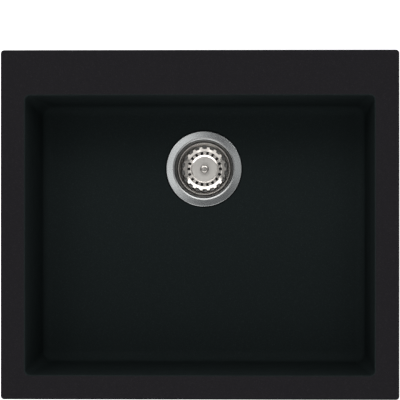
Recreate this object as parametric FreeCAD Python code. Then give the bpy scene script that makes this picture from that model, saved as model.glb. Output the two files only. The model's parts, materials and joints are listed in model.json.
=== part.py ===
import FreeCAD, Part
import math
import os
from collections import namedtuple
from FreeCAD import Vector

# Single-bowl drop-in sink of moulded composite, with a 3 1/2 inch basket strainer.
# Millimetres. +X is the user's right, +Y is the rear, where the tap ledge is, +Z is up.
# The origin is the middle of the rim's outline, on the worktop that the rim's seal rests on.

# Bowl and rim
BOWL_WIDTH = 500.0
BOWL_LENGTH = 400.0
BOWL_DEPTH = 200.0
BOWL_WALL = 8.0
FLOOR_THICKNESS = 10.0
WALL_DRAFT = 3.0
OPENING_CORNER = 7.0
FLOOR_FILLET = 15.0
CORNER_EASE = 1.0
OUTER_CORNER_EXTRA = 6.0
RIM_THICKNESS = 10.0
RIM_CORNER = 5.0
RIM_EDGE = 3.0
LIP_EDGE = 2.0
ROOT_FILLET = 4.0
RIM_OVERLAP = 10.0
TAP_LEDGE = 30.0

# Knock-outs scored under the tap ledge, for a fitter to open
KNOCK_OUT_RADIUS = 17.5
KNOCK_OUT_GROOVE = 2.0
KNOCK_OUT_DEPTH = 4.0
KNOCK_OUT_PITCH = 205.0

# Seal strip under the rim
SEAL_WIDTH = 6.6
SEAL_INSET = 1.5
SEAL_DEPTH = 1.5
SEAL_PROUD = 1.0
SEAL_CLEARANCE = 0.2

# Worktop clips
CLIP_CHANNEL = 17.0
CLIP_SPREAD = 110.0
CLIP_MARGIN = 1.5
CLIP_BOSS_HEIGHT = 15.0
CLIP_RIB = 8.0
INSERT_RADIUS = 4.0
INSERT_LENGTH = 12.0
INSERT_END_GAP = 1.5
SCREW_RADIUS = 2.5
SCREW_CLEARANCE = 0.05
SCREW_HEAD_RADIUS = 4.8
SCREW_HEAD_HEIGHT = 3.6
SCREW_HEAD_EDGE = 1.8
SCREW_END_GAP = 1.0
RECESS_WIDTH = 1.2
RECESS_REACH = 2.8
RECESS_DEPTH = 1.8
WORKTOP_LIMIT = 40.0
CLAW_THICKNESS = 2.0
CLAW_BASE = 12.0
CLAW_SLOPE = 12.0
CLAW_RISE = 5.0
CLAW_TIP = 7.0
CLAW_TIP_LEAN = 2.5
CLAW_BEND = 3.0
CLAW_TEETH = 3
TOOTH_HEIGHT = 3.0
CLAW_TIP_GAP = 1.0
CLAW_HOLE_GAP = 0.25
CLAW_SEAT_GAP = 0.2

# Drain hole in the floor
DRAIN_SETBACK = 103.0
DRAIN_RADIUS = 45.0
RECESS_MARGIN = 1.0
FLANGE_RECESS = 3.3

# Strainer cup, pressed from steel sheet
SHEET = 0.9
FLANGE_WIDTH = 12.0
FLANGE_PROUD = 0.2
FLANGE_FALL = 0.54
FLANGE_TURN = 1.2
FLANGE_DISH = 3.0
FLANGE_DISH_FALL = 0.65
FLANGE_LIP = 1.5
CUP_GAP = 1.15
LEDGE_DEPTH = 13.0
LEDGE_DROP = 2.0
LEDGE_WIDTH = 2.8
CUP_TAPER = 1.4
CUP_FILLET = 8.0
SHEET_BEND = 1.5
WELL_RADIUS = 16.0
WELL_TAPER = 1.5
WELL_HOLES = 8
WELL_HOLE_RADIUS = 2.4
FLANGE_SEAL_INSET = 2.0

# Fixing screw, its insert and the waste body
FIXING_RADIUS = 5.0
FIXING_GAP = 0.3
FIXING_END = 12.0
FIXING_HEAD_RADIUS = 7.5
FIXING_HEAD_HEIGHT = 4.0
FIXING_HEAD_GAP = 1.55
FIXING_FLAT = 1.2
BODY_INSERT_WALL = 2.5
BODY_INSERT_LENGTH = 22.0
BODY_GASKET = 3.0
BODY_FLANGE_WIDTH = 13.0
BODY_FLANGE = 5.0
BODY_WALL = 3.0
MOULDED_EDGE = 1.5
BODY_CUP_GAP = 1.6
BODY_CONE_HEIGHT = 19.0
BODY_RIBS = 8
BODY_RIB = 3.0
BODY_RIB_HEIGHT = 26.0
OUTLET_RADIUS = 23.9
OUTLET_WALL = 4.4
OUTLET_LENGTH = 34.0
BOSS_WALL = 3.5
BOSS_NECK_RADIUS = 8.5
BOSS_NECK_TAPER = 6.0
SPIDER_ARMS = 4
SPIDER_ARM = 3.0
SPIDER_DROP = 4.0

# Basket, pressed from thinner sheet; shares are of its floor's radius, or of the pitch of its holes
BASKET_SHEET = 0.8
BASKET_GAP = 0.55
BASKET_RIM_DEPTH = 11.0
BASKET_HEM = 1.6
BASKET_BEND = 0.6
BASKET_DEPTH = 25.25
BASKET_LEAN = 5.4
BASKET_FILLET = 2.5
BASKET_CONE_SHARE = 0.772
BASKET_CONE_RISE = 1.7
PLATEAU_SHARE = 0.541
PLATEAU_SLOPE = 2.6
PLATEAU_RISE = 0.42
BASKET_SLOTS = 18
FLOOR_SLOT_INSET = 0.45
FLOOR_SLOT_SHARE = 0.46
WINDOW_SHARE = 0.687
WINDOW_START_SHARE = 0.877
WINDOW_CORNER = 1.8
WINDOW_HEIGHT = 8.5
VENT_WIDTH = 4.0
VENT_HEIGHT = 6.0
VENT_SILL = 12.5

# Knob, stopper, sleeve nut and guide pin on the basket's axis
STUD_RADIUS = 3.0
STUD_GAP = 0.1
KNOB_RADIUS = 6.2
KNOB_HEIGHT = 14.0
KNOB_CAP = 6.3
KNOB_CAP_EDGE = 1.2
KNOB_CROWN_SHARE = 1.4
KNOB_CROWN_FALL = 0.65
KNOB_NECK = 3.6
KNOB_NECK_CURVE = 1.3
KNOB_FOOT_RADIUS = 5.4
KNOB_FOOT = 1.3
TURNED_EDGE = 0.5
PLATE_INSET = 0.5
PLATE_THICKNESS = 1.0
STOPPER_PLUG_GAP = 1.5
STOPPER_SEAT_SHARE = 0.656
STOPPER_HEIGHT = 3.6
STOPPER_LIP = 2.4
STOPPER_HOLLOW = 1.8
STOPPER_EDGE = 0.7
STOPPER_GAP = 3.0
STOPPER_SEAT_GAP = 0.3
NUT_SLEEVE_WALL = 2.5
NUT_FLANGE_RADIUS = 9.0
NUT_FLANGE = 1.0
NUT_CUP_WALL = 2.1
NUT_CUP_FLOOR = 1.4
PIN_RADIUS = 3.0
PIN_HEAD_RADIUS = 4.4
PIN_HEAD = 2.0
PIN_HEAD_PLAY = 0.3
PIN_GAP = 0.2
PIN_BORE_GAP = 0.3
PIN_LENGTH = 21.0
PIN_END_GAP = 4.1
PIN_TIP_EDGE = 1.5
RING_SECTION = 0.5
RING_GAP = 0.1
RING_DEPTH = 12.0

# Sizes and levels that follow from the ones above
BORDER = RIM_OVERLAP + CLIP_CHANNEL + BOWL_WALL
RIM_WIDTH = BOWL_WIDTH + 2 * BORDER
RIM_LENGTH = BOWL_LENGTH + 2 * BORDER + TAP_LEDGE
BOWL_Y = -TAP_LEDGE / 2
RIM_UNDERSIDE = SEAL_PROUD
RIM_TOP = RIM_UNDERSIDE + RIM_THICKNESS
FLOOR_Z = RIM_TOP - BOWL_DEPTH
DRAIN_Y = BOWL_Y + BOWL_LENGTH / 2 - DRAIN_SETBACK
DRAIN = Vector(0, DRAIN_Y, FLOOR_Z)
FLANGE_RADIUS = DRAIN_RADIUS + FLANGE_WIDTH
DRAFT_SLOPE = math.tan(math.radians(WALL_DRAFT))
UP = Vector(0, 0, 1)
TOUCH = 1e-3

os.makedirs("parts", exist_ok=True)


def save(name, *solids):
    """Write one sub-part, a single solid or a group of separate ones."""
    shape = solids[0] if len(solids) == 1 else Part.makeCompound(list(solids))
    shape.exportStep("parts/" + name + ".step")


def rounded_rectangle(width, length, radius, z, y=0.0):
    """Level wire of a rounded rectangle, centred on X = 0 and the given y."""
    arcs = []
    for quarter, (side_x, side_y) in enumerate(((1, 1), (-1, 1), (-1, -1), (1, -1))):
        centre = Vector(side_x * (width / 2 - radius), y + side_y * (length / 2 - radius), z)
        turns = [math.radians(90 * quarter + step) for step in (0, 45, 90)]
        start, middle, end = [centre + Vector(math.cos(a), math.sin(a), 0) * radius for a in turns]
        arcs.append(Part.Arc(start, middle, end).toShape())
    edges = []
    for arc, following in zip(arcs, arcs[1:] + arcs[:1]):
        edges.append(arc)
        edges.append(Part.makeLine(arc.lastVertex().Point, following.firstVertex().Point))
    return Part.Wire(edges)


def slab(width, length, radius, bottom, top):
    """Upright prism on a rounded rectangle about the origin."""
    face = Part.Face(rounded_rectangle(width, length, radius, bottom))
    return face.extrude(UP * (top - bottom))


def rounded_outline(corners):
    """Closed face in the XZ plane through corners (x, z, radius), each rounded by a tangent arc."""
    points = [Vector(x, 0, z) for x, z, _ in corners]
    ends = []
    for i, (_, _, radius) in enumerate(corners):
        here = points[i]
        back = (points[i - 1] - here).normalize()
        ahead = (points[(i + 1) % len(points)] - here).normalize()
        if radius <= 0:
            ends.append((here, None, here))
            continue
        half = back.getAngle(ahead) / 2
        bisector = (back + ahead).normalize()
        middle = here + bisector * (radius / math.sin(half) - radius)
        run = radius / math.tan(half)
        ends.append((here + back * run, middle, here + ahead * run))
    edges = []
    for i, (start, middle, end) in enumerate(ends):
        if middle is not None:
            edges.append(Part.Arc(start, middle, end).toShape())
        following = ends[(i + 1) % len(ends)][0]
        if end.distanceToPoint(following) > TOUCH:
            edges.append(Part.makeLine(end, following))
    return Part.Face(Part.Wire(edges))


def bent_sheet(path, thickness):
    """Outline corners of a sheet whose mid-line runs through path, as (x, z, bend radius)."""
    points = [Vector(x, 0, z) for x, z, _ in path]
    runs = [(b - a).normalize() for a, b in zip(points, points[1:])]
    normals = [Vector(-run.z, 0, run.x) for run in runs]
    left, right = [], []
    for i, (_, _, radius) in enumerate(path):
        before = normals[max(i - 1, 0)]
        after = normals[min(i, len(normals) - 1)]
        offset = (before + after) * (thickness / 2 / (1 + before.dot(after)))
        turn = before.cross(after).y
        inner_side = 0 if radius == 0 else math.copysign(thickness / 2, -turn)
        left.append((points[i].x + offset.x, points[i].z + offset.z, radius - inner_side))
        right.append((points[i].x - offset.x, points[i].z - offset.z, radius + inner_side))
    return left + right[::-1]


def turned(corners):
    """Solid of revolution about the drain's axis; corners (r, z, radius) measure z from the floor."""
    return rounded_outline(corners).revolve(Vector(0, 0, 0), UP, 360).translate(DRAIN)


def ring(inner, outer, bottom, top):
    """Plain ring, or a disc where inner is 0, about the drain's axis."""
    return turned([(inner, bottom, 0), (outer, bottom, 0), (outer, top, 0), (inner, top, 0)])


def around_drain(shape, count, first_angle=0.0):
    """Copies of a shape, spread evenly around the drain's axis."""
    angles = [first_angle + i * 360.0 / count for i in range(count)]
    return [shape.rotated(Vector(0, 0, 0), UP, angle).translate(DRAIN) for angle in angles]


def radial_box(inner, outer, width, bottom, top):
    """Square-ended block lying along +X from inner to outer."""
    return Part.makeBox(outer - inner, width, top - bottom, Vector(inner, -width / 2, bottom))


def level_edges(shape, z, half_width, half_length, y):
    """Edges that lie level at z, inside a rectangle centred on X = 0 and the given y."""
    def inside(edge):
        box, centre = edge.BoundBox, edge.CenterOfMass
        level = abs(box.ZMin - z) < TOUCH and abs(box.ZMax - z) < TOUCH
        return level and abs(centre.x) < half_width and abs(centre.y - y) < half_length
    return [edge for edge in shape.Edges if inside(edge)]


# Bowl, rim and seal
Clip = namedtuple("Clip", "place axis out park rib")


def clip_places():
    """Each clip's axis, the ways its claw points when swung out and when parked, and its rib's length."""
    side = RIM_WIDTH / 2 - RIM_OVERLAP - CLIP_CHANNEL / 2
    end = RIM_LENGTH / 2 - RIM_OVERLAP - CLIP_CHANNEL / 2
    rib = CLIP_CHANNEL / 2 + BOWL_WALL / 2
    clips = []
    for side_name, way in (("left", -1), ("right", 1)):
        for place, along in (("front", -1), ("rear", 1)):
            axis = Vector(way * side, BOWL_Y + along * CLIP_SPREAD, 0)
            out, park = Vector(way, 0, 0), Vector(0, -along, 0)
            clips.append(Clip(side_name + "_" + place, axis, out, park, rib))
    for end_name, way, extra in (("front", -1, 0), ("rear", 1, TAP_LEDGE)):
        for place, along in (("left", -1), ("right", 1)):
            axis = Vector(along * CLIP_SPREAD, way * end, 0)
            out, park = Vector(0, way, 0), Vector(-along, 0, 0)
            clips.append(Clip(end_name + "_" + place, axis, out, park, rib + extra))
    return clips


CLIPS = clip_places()
BOSS_RADIUS = CLIP_CHANNEL / 2 - CLIP_MARGIN
BOSS_BOTTOM = RIM_UNDERSIDE - CLIP_BOSS_HEIGHT
SEAL_TOP = RIM_UNDERSIDE + SEAL_DEPTH


def on_axis(clip, z):
    """Point on a clip's axis at the level z."""
    return Vector(clip.axis.x, clip.axis.y, z)


def heading(direction):
    """Angle of a level direction, in degrees from +X."""
    return math.degrees(math.atan2(direction.y, direction.x))


def drafted_block(width, length, corner, floor_corner, fillet, bottom, top):
    """Block whose walls lean in towards a filleted bottom; width and length hold at the rim's top."""
    sections = []
    for z, radius in ((bottom, floor_corner), (top, corner)):
        widen = 2 * (z - RIM_TOP) * DRAFT_SLOPE
        sections.append(rounded_rectangle(width + widen, length + widen, radius, z, BOWL_Y))
    block = Part.makeLoft(sections, True, True)
    return block.makeFillet(fillet, level_edges(block, bottom, width, length, BOWL_Y))


def clip_boss(clip, top):
    """Boss for a clip's insert, with the rib that ties it to the bowl's wall."""
    foot = on_axis(clip, BOSS_BOTTOM)
    boss = Part.makeCylinder(BOSS_RADIUS, top - BOSS_BOTTOM, foot)
    rib = radial_box(0, clip.rib, CLIP_RIB, 0, top - BOSS_BOTTOM)
    rib = rib.rotated(Vector(0, 0, 0), UP, heading(-clip.out)).translate(foot)
    return [boss, rib]


def knock_out(x):
    """Ring-shaped cutter for a scored tap hole under the ledge."""
    foot = Vector(x, RIM_LENGTH / 2 - (BORDER + TAP_LEDGE) / 2, RIM_UNDERSIDE)
    groove = Part.makeCylinder(KNOCK_OUT_RADIUS, KNOCK_OUT_DEPTH, foot)
    return groove.cut(Part.makeCylinder(KNOCK_OUT_RADIUS - KNOCK_OUT_GROOVE, KNOCK_OUT_DEPTH, foot))


def seal_ring(clearance):
    """Ring under the rim's overlap that follows its outline, with the clearance taken off both sides."""
    insets = (SEAL_INSET + clearance, SEAL_INSET + SEAL_WIDTH + 2 * SEAL_CLEARANCE - clearance)
    outer, inner = [slab(RIM_WIDTH - 2 * inset, RIM_LENGTH - 2 * inset, RIM_CORNER, 0, SEAL_TOP)
                    for inset in insets]
    return outer.cut(inner)


def sink_bowl():
    """Rim, bowl, clip bosses and drain hole, moulded in one piece."""
    rim = slab(RIM_WIDTH, RIM_LENGTH, RIM_CORNER, RIM_UNDERSIDE, RIM_TOP)
    rim = rim.makeFillet(RIM_EDGE, level_edges(rim, RIM_TOP, RIM_WIDTH, RIM_LENGTH, 0))

    rim_middle = RIM_TOP - RIM_THICKNESS / 2
    outer_fillet = FLOOR_FILLET + OUTER_CORNER_EXTRA
    outer_corner = outer_fillet + CORNER_EASE
    shell = drafted_block(BOWL_WIDTH + 2 * BOWL_WALL, BOWL_LENGTH + 2 * BOWL_WALL, outer_corner, outer_corner,
                          outer_fillet, FLOOR_Z - FLOOR_THICKNESS, rim_middle)
    body = rim.fuse(shell)
    root = level_edges(body, RIM_UNDERSIDE, BOWL_WIDTH / 2 + BOWL_WALL, BOWL_LENGTH / 2 + BOWL_WALL, BOWL_Y)
    body = body.makeFillet(ROOT_FILLET, root)
    body = body.fuse([piece for clip in CLIPS for piece in clip_boss(clip, rim_middle)])

    body = body.cut(drafted_block(BOWL_WIDTH, BOWL_LENGTH, OPENING_CORNER, FLOOR_FILLET + CORNER_EASE,
                                  FLOOR_FILLET, FLOOR_Z, RIM_TOP + LIP_EDGE))
    lip = level_edges(body, RIM_TOP, BOWL_WIDTH / 2 + LIP_EDGE, BOWL_LENGTH / 2 + LIP_EDGE, BOWL_Y)
    body = body.makeFillet(LIP_EDGE, lip)

    cuts = [seal_ring(0)]
    cuts += [knock_out(x) for x in (-KNOCK_OUT_PITCH, 0, KNOCK_OUT_PITCH)]
    cuts += [Part.makeCylinder(INSERT_RADIUS, INSERT_LENGTH + INSERT_END_GAP, on_axis(clip, BOSS_BOTTOM))
             for clip in CLIPS]
    cuts.append(ring(0, DRAIN_RADIUS, -2 * FLOOR_THICKNESS, FLOOR_THICKNESS))
    cuts.append(ring(0, FLANGE_RADIUS + RECESS_MARGIN, -FLANGE_RECESS, FLOOR_THICKNESS))
    return body.cut(cuts)


save("sink_bowl", sink_bowl())
save("rim_seal", seal_ring(SEAL_CLEARANCE))


# Worktop clips
CLAW_RADIUS = BOSS_RADIUS
CLAW_Z = -WORKTOP_LIMIT - CLAW_TIP_GAP - CLAW_RISE - CLAW_TIP
HEAD_TOP = CLAW_Z - CLAW_THICKNESS / 2 - CLAW_SEAT_GAP
SCREW_TIP = BOSS_BOTTOM + INSERT_LENGTH - SCREW_END_GAP


def clip_insert(clip):
    """Brass bush in a boss, flush with its end."""
    foot = on_axis(clip, BOSS_BOTTOM)
    bush = Part.makeCylinder(INSERT_RADIUS, INSERT_LENGTH, foot)
    return bush.cut(Part.makeCylinder(SCREW_RADIUS + SCREW_CLEARANCE, INSERT_LENGTH, foot))


def clip_screw(clip):
    """Pan-head screw with a cross recess, driven up into the insert from below."""
    head = Part.makeCylinder(SCREW_HEAD_RADIUS, SCREW_HEAD_HEIGHT)
    head = head.makeFillet(SCREW_HEAD_EDGE, level_edges(head, 0, SCREW_HEAD_RADIUS, SCREW_HEAD_RADIUS, 0))
    shank = Part.makeCylinder(SCREW_RADIUS, SCREW_TIP - HEAD_TOP, Vector(0, 0, SCREW_HEAD_HEIGHT))
    recess = radial_box(-RECESS_REACH, RECESS_REACH, RECESS_WIDTH, 0, RECESS_DEPTH)
    screw = head.fuse(shank).removeSplitter().cut([recess, recess.rotated(Vector(0, 0, 0), UP, 90)])
    return screw.translate(on_axis(clip, HEAD_TOP - SCREW_HEAD_HEIGHT))


def clip_claw(clip):
    """Bent strip with a toothed end, which swings about its screw; made along +X, then parked."""
    slope_end = CLAW_BASE + CLAW_SLOPE
    tip = CLAW_RISE + CLAW_TIP
    path = [(-CLAW_RADIUS, 0, 0), (CLAW_BASE, 0, CLAW_BEND), (slope_end, CLAW_RISE, CLAW_BEND),
            (slope_end + CLAW_TIP_LEAN, tip, 0)]
    strip = rounded_outline(bent_sheet(path, CLAW_THICKNESS)).extrude(Vector(0, 2 * CLAW_RADIUS, 0))
    strip.translate(Vector(0, -CLAW_RADIUS, 0))
    heel = Part.makeCylinder(CLAW_RADIUS, 2 * CLAW_THICKNESS, Vector(0, 0, -CLAW_THICKNESS))
    corners = radial_box(-CLAW_RADIUS, 0, 2 * CLAW_RADIUS, -CLAW_THICKNESS, CLAW_THICKNESS).cut(heel)
    hole = Part.makeCylinder(SCREW_RADIUS + CLAW_HOLE_GAP, 2 * CLAW_THICKNESS, Vector(0, 0, -CLAW_THICKNESS))
    cuts = [corners, hole]
    tooth = 2 * CLAW_RADIUS / CLAW_TEETH
    root = Vector(slope_end - CLAW_THICKNESS, -CLAW_RADIUS, tip - TOOTH_HEIGHT)
    flank = Vector(0, tooth / 2, TOOTH_HEIGHT + CLAW_THICKNESS)
    notch = Part.Face(Part.makePolygon([root, root + flank, root + flank - Vector(0, tooth, 0), root]))
    prism = notch.extrude(Vector(CLAW_SLOPE, 0, 0))
    cuts += [prism.translated(Vector(0, i * tooth, 0)) for i in range(CLAW_TEETH + 1)]
    strip = strip.cut(cuts).rotated(Vector(0, 0, 0), UP, heading(clip.park))
    return strip.translate(on_axis(clip, CLAW_Z))


save("clip_inserts", *[clip_insert(clip) for clip in CLIPS])
save("clip_screws", *[clip_screw(clip) for clip in CLIPS])
for clip in CLIPS:
    save("claw_" + clip.place, clip_claw(clip))


# Levels from here on are measured from the bowl's floor, and radii from the drain's axis.
# The stack on that axis starts at the basket's rim and goes down to the tip of the fixing screw.
BASKET_TOP = -BASKET_RIM_DEPTH
BASKET_FLOOR = BASKET_TOP - BASKET_DEPTH
BASKET_UNDERSIDE = BASKET_FLOOR - BASKET_SHEET / 2
PLATEAU = BASKET_FLOOR + PLATEAU_RISE
PLATEAU_TOP = PLATEAU + BASKET_SHEET / 2
PLATE_TOP = PLATEAU - BASKET_SHEET / 2
PLATE_UNDERSIDE = PLATE_TOP - PLATE_THICKNESS
STOPPER_SHOULDER = BASKET_UNDERSIDE - STOPPER_GAP
STOPPER_BOTTOM = STOPPER_SHOULDER - STOPPER_HEIGHT
CUP_FLOOR = STOPPER_BOTTOM - STOPPER_SEAT_GAP - SHEET / 2
NUT_SEAT = STOPPER_BOTTOM + STOPPER_HOLLOW
PIN_HEAD_TOP = NUT_SEAT - NUT_FLANGE
PIN_HEAD_BOTTOM = PIN_HEAD_TOP - PIN_HEAD
PIN_TIP = PIN_HEAD_BOTTOM - PIN_LENGTH
STUD_TIP = PIN_HEAD_TOP + PIN_HEAD_PLAY
NUT_POCKET_FLOOR = PIN_HEAD_BOTTOM - PIN_HEAD_PLAY / 2
NUT_BOTTOM = NUT_POCKET_FLOOR - NUT_CUP_FLOOR
FIXING_TOP = NUT_BOTTOM - FIXING_HEAD_GAP
FIXING_SEAT = FIXING_TOP - FIXING_HEAD_HEIGHT
WELL_FLOOR = FIXING_SEAT - SHEET / 2
FIXING_BORE_END = PIN_TIP - PIN_END_GAP
FIXING_TIP = FIXING_BORE_END - FIXING_END
RING_Z = PIN_HEAD_BOTTOM - RING_DEPTH

FLANGE_MID = FLANGE_PROUD - SHEET / 2
FLANGE_EDGE = FLANGE_RADIUS - SHEET / 2
CUP_RADIUS = DRAIN_RADIUS - CUP_GAP - SHEET / 2
DISH_RADIUS = CUP_RADIUS + FLANGE_DISH
FLANGE_SLOPE = FLANGE_FALL / (FLANGE_EDGE - DISH_RADIUS)
LOWER_RADIUS = CUP_RADIUS - LEDGE_WIDTH
FIXING_HOLE = FIXING_RADIUS + FIXING_GAP
BASKET_RIM_RADIUS = LOWER_RADIUS - SHEET / 2 - BASKET_GAP
BASKET_FLOOR_RADIUS = BASKET_RIM_RADIUS - BASKET_LEAN
BASKET_CONE_RADIUS = BASKET_CONE_SHARE * BASKET_FLOOR_RADIUS
PLATEAU_RADIUS = PLATEAU_SHARE * BASKET_FLOOR_RADIUS
PLATEAU_FOOT_RADIUS = PLATEAU_RADIUS + PLATEAU_SLOPE
STUD_HOLE = STUD_RADIUS + STUD_GAP
STOPPER_PLUG_RADIUS = PLATEAU_RADIUS - STOPPER_PLUG_GAP
WELL_EDGE = WELL_RADIUS + WELL_TAPER + SHEET_BEND
CUP_FLOOR_EDGE = LOWER_RADIUS - CUP_TAPER - CUP_FILLET
STOPPER_RADIUS = WELL_EDGE + STOPPER_SEAT_SHARE * (CUP_FLOOR_EDGE - WELL_EDGE)
NUT_SLEEVE = STUD_RADIUS + NUT_SLEEVE_WALL
PIN_POCKET = PIN_HEAD_RADIUS + PIN_HEAD_PLAY


def strainer_cup():
    """Flange with a dished inner edge, stepped wall and sunken well, drawn from one disc of sheet."""
    flange_outer = FLANGE_MID - FLANGE_FALL
    path = [(FLANGE_EDGE, flange_outer - FLANGE_TURN - SHEET, 0),
            (FLANGE_EDGE, flange_outer, FLANGE_TURN),
            (DISH_RADIUS, FLANGE_MID, SHEET_BEND),
            (CUP_RADIUS, FLANGE_MID - FLANGE_DISH_FALL, FLANGE_LIP),
            (CUP_RADIUS, -LEDGE_DEPTH, SHEET_BEND),
            (LOWER_RADIUS, -LEDGE_DEPTH - LEDGE_DROP, SHEET_BEND),
            (LOWER_RADIUS - CUP_TAPER, CUP_FLOOR, CUP_FILLET),
            (WELL_RADIUS + WELL_TAPER, CUP_FLOOR, SHEET_BEND),
            (WELL_RADIUS, WELL_FLOOR, SHEET_BEND),
            (FIXING_HOLE, WELL_FLOOR, 0)]
    cup = turned(bent_sheet(path, SHEET))
    hole_circle = (FIXING_HEAD_RADIUS + WELL_RADIUS) / 2
    hole = Part.makeCylinder(WELL_HOLE_RADIUS, 2 * SHEET, Vector(hole_circle, 0, WELL_FLOOR - SHEET))
    return cup.cut(around_drain(hole, WELL_HOLES))


def flange_seal():
    """Ring between the recess and the flange, whose top follows the flange's fall."""
    radii = (FLANGE_RADIUS - FLANGE_SEAL_INSET, DRAIN_RADIUS + FLANGE_SEAL_INSET)
    under_flange = FLANGE_MID - SHEET / 2 * math.hypot(1, FLANGE_SLOPE)
    corners = [(r, -FLANGE_RECESS, 0) for r in radii[::-1]]
    corners += [(r, under_flange - FLANGE_SLOPE * (r - DISH_RADIUS), 0) for r in radii]
    return turned(corners)


save("strainer_cup", strainer_cup())
save("flange_seal", flange_seal())


# Waste body under the floor
GASKET_TOP = -FLOOR_THICKNESS
BODY_TOP = GASKET_TOP - BODY_GASKET
BODY_FLANGE_RADIUS = DRAIN_RADIUS + BODY_FLANGE_WIDTH
BODY_BORE = CUP_RADIUS + SHEET / 2 + BODY_CUP_GAP
BODY_LOWER_BORE = LOWER_RADIUS + SHEET / 2 + BODY_CUP_GAP
BOSS_TOP = WELL_FLOOR - SHEET / 2
CONE_TOP = CUP_FLOOR - SHEET / 2 - BODY_CUP_GAP
CONE_BOTTOM = CONE_TOP - BODY_CONE_HEIGHT
OUTLET_BORE = OUTLET_RADIUS - OUTLET_WALL
OUTLET_END = CONE_BOTTOM - OUTLET_LENGTH
INSERT_OUTER = FIXING_RADIUS + BODY_INSERT_WALL
INSERT_TOP = FIXING_TIP + BODY_INSERT_LENGTH
BOSS_OUTER = INSERT_OUTER + BOSS_WALL


def waste_body():
    """Moulded body: flange, well, cone, outlet spigot, and the spider that takes the screw."""
    flange_underside = BODY_TOP - BODY_FLANGE
    body = turned([(BODY_BORE, BODY_TOP, 0),
                   (BODY_FLANGE_RADIUS, BODY_TOP, MOULDED_EDGE),
                   (BODY_FLANGE_RADIUS, flange_underside, MOULDED_EDGE),
                   (BODY_BORE + BODY_WALL, flange_underside, MOULDED_EDGE),
                   (BODY_LOWER_BORE + BODY_WALL, CONE_TOP, CUP_FILLET),
                   (OUTLET_RADIUS, CONE_BOTTOM, MOULDED_EDGE),
                   (OUTLET_RADIUS, OUTLET_END, 0),
                   (OUTLET_BORE, OUTLET_END, 0),
                   (OUTLET_BORE, CONE_BOTTOM, MOULDED_EDGE),
                   (BODY_LOWER_BORE, CONE_TOP + BODY_WALL, CUP_FILLET)])
    root = BODY_LOWER_BORE + BODY_WALL / 2
    gusset_edge = BODY_FLANGE_RADIUS - BODY_WALL
    gusset = rounded_outline([(root, BODY_TOP - BODY_FLANGE / 2, 0),
                              (gusset_edge, BODY_TOP - BODY_FLANGE / 2, 0),
                              (gusset_edge, flange_underside - BODY_WALL, 0),
                              (root, BODY_TOP - BODY_RIB_HEIGHT, 0)])
    gusset = gusset.extrude(Vector(0, BODY_RIB, 0)).translate(Vector(0, -BODY_RIB / 2, 0))
    inside = ring(0, BODY_BORE, OUTLET_END, 0)
    gussets = [g.cut(inside) for g in around_drain(gusset, BODY_RIBS)]
    spider_bottom = FIXING_TIP - SPIDER_DROP
    arm = radial_box(BOSS_OUTER - BOSS_WALL / 2, OUTLET_RADIUS - OUTLET_WALL / 2, SPIDER_ARM,
                     spider_bottom, CONE_BOTTOM)
    boss = turned([(0, spider_bottom, 0), (BOSS_OUTER, spider_bottom, MOULDED_EDGE),
                   (BOSS_OUTER, BOSS_TOP - BOSS_NECK_TAPER, 0), (BOSS_NECK_RADIUS, BOSS_TOP, 0),
                   (0, BOSS_TOP, 0)])
    body = body.fuse(gussets + around_drain(arm, SPIDER_ARMS) + [boss]).removeSplitter()
    return body.cut([ring(0, INSERT_OUTER, FIXING_TIP, INSERT_TOP),
                     ring(0, FIXING_HOLE, FIXING_TIP, BOSS_TOP)])


def fixing_screw():
    """Hollow screw through the well's floor; its bore guides the basket's pin."""
    bore = PIN_RADIUS + PIN_BORE_GAP
    screw = turned([(0, FIXING_TIP, 0), (FIXING_RADIUS, FIXING_TIP, TURNED_EDGE),
                    (FIXING_RADIUS, FIXING_SEAT, 0), (FIXING_HEAD_RADIUS, FIXING_SEAT, 0),
                    (FIXING_HEAD_RADIUS, FIXING_TOP, TURNED_EDGE), (bore, FIXING_TOP, TURNED_EDGE),
                    (bore, FIXING_BORE_END, 0), (0, FIXING_BORE_END, 0)])
    flat = radial_box(FIXING_HEAD_RADIUS - FIXING_FLAT, 2 * FIXING_HEAD_RADIUS, 2 * FIXING_HEAD_RADIUS,
                      FIXING_SEAT, FIXING_TOP)
    return screw.cut(around_drain(flat, 2))


save("body_gasket", ring(BODY_BORE, BODY_FLANGE_RADIUS - MOULDED_EDGE, BODY_TOP, GASKET_TOP))
save("waste_body", waste_body())
save("body_insert", ring(FIXING_RADIUS + SCREW_CLEARANCE, INSERT_OUTER, FIXING_TIP, INSERT_TOP))
save("fixing_screw", fixing_screw())


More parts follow.
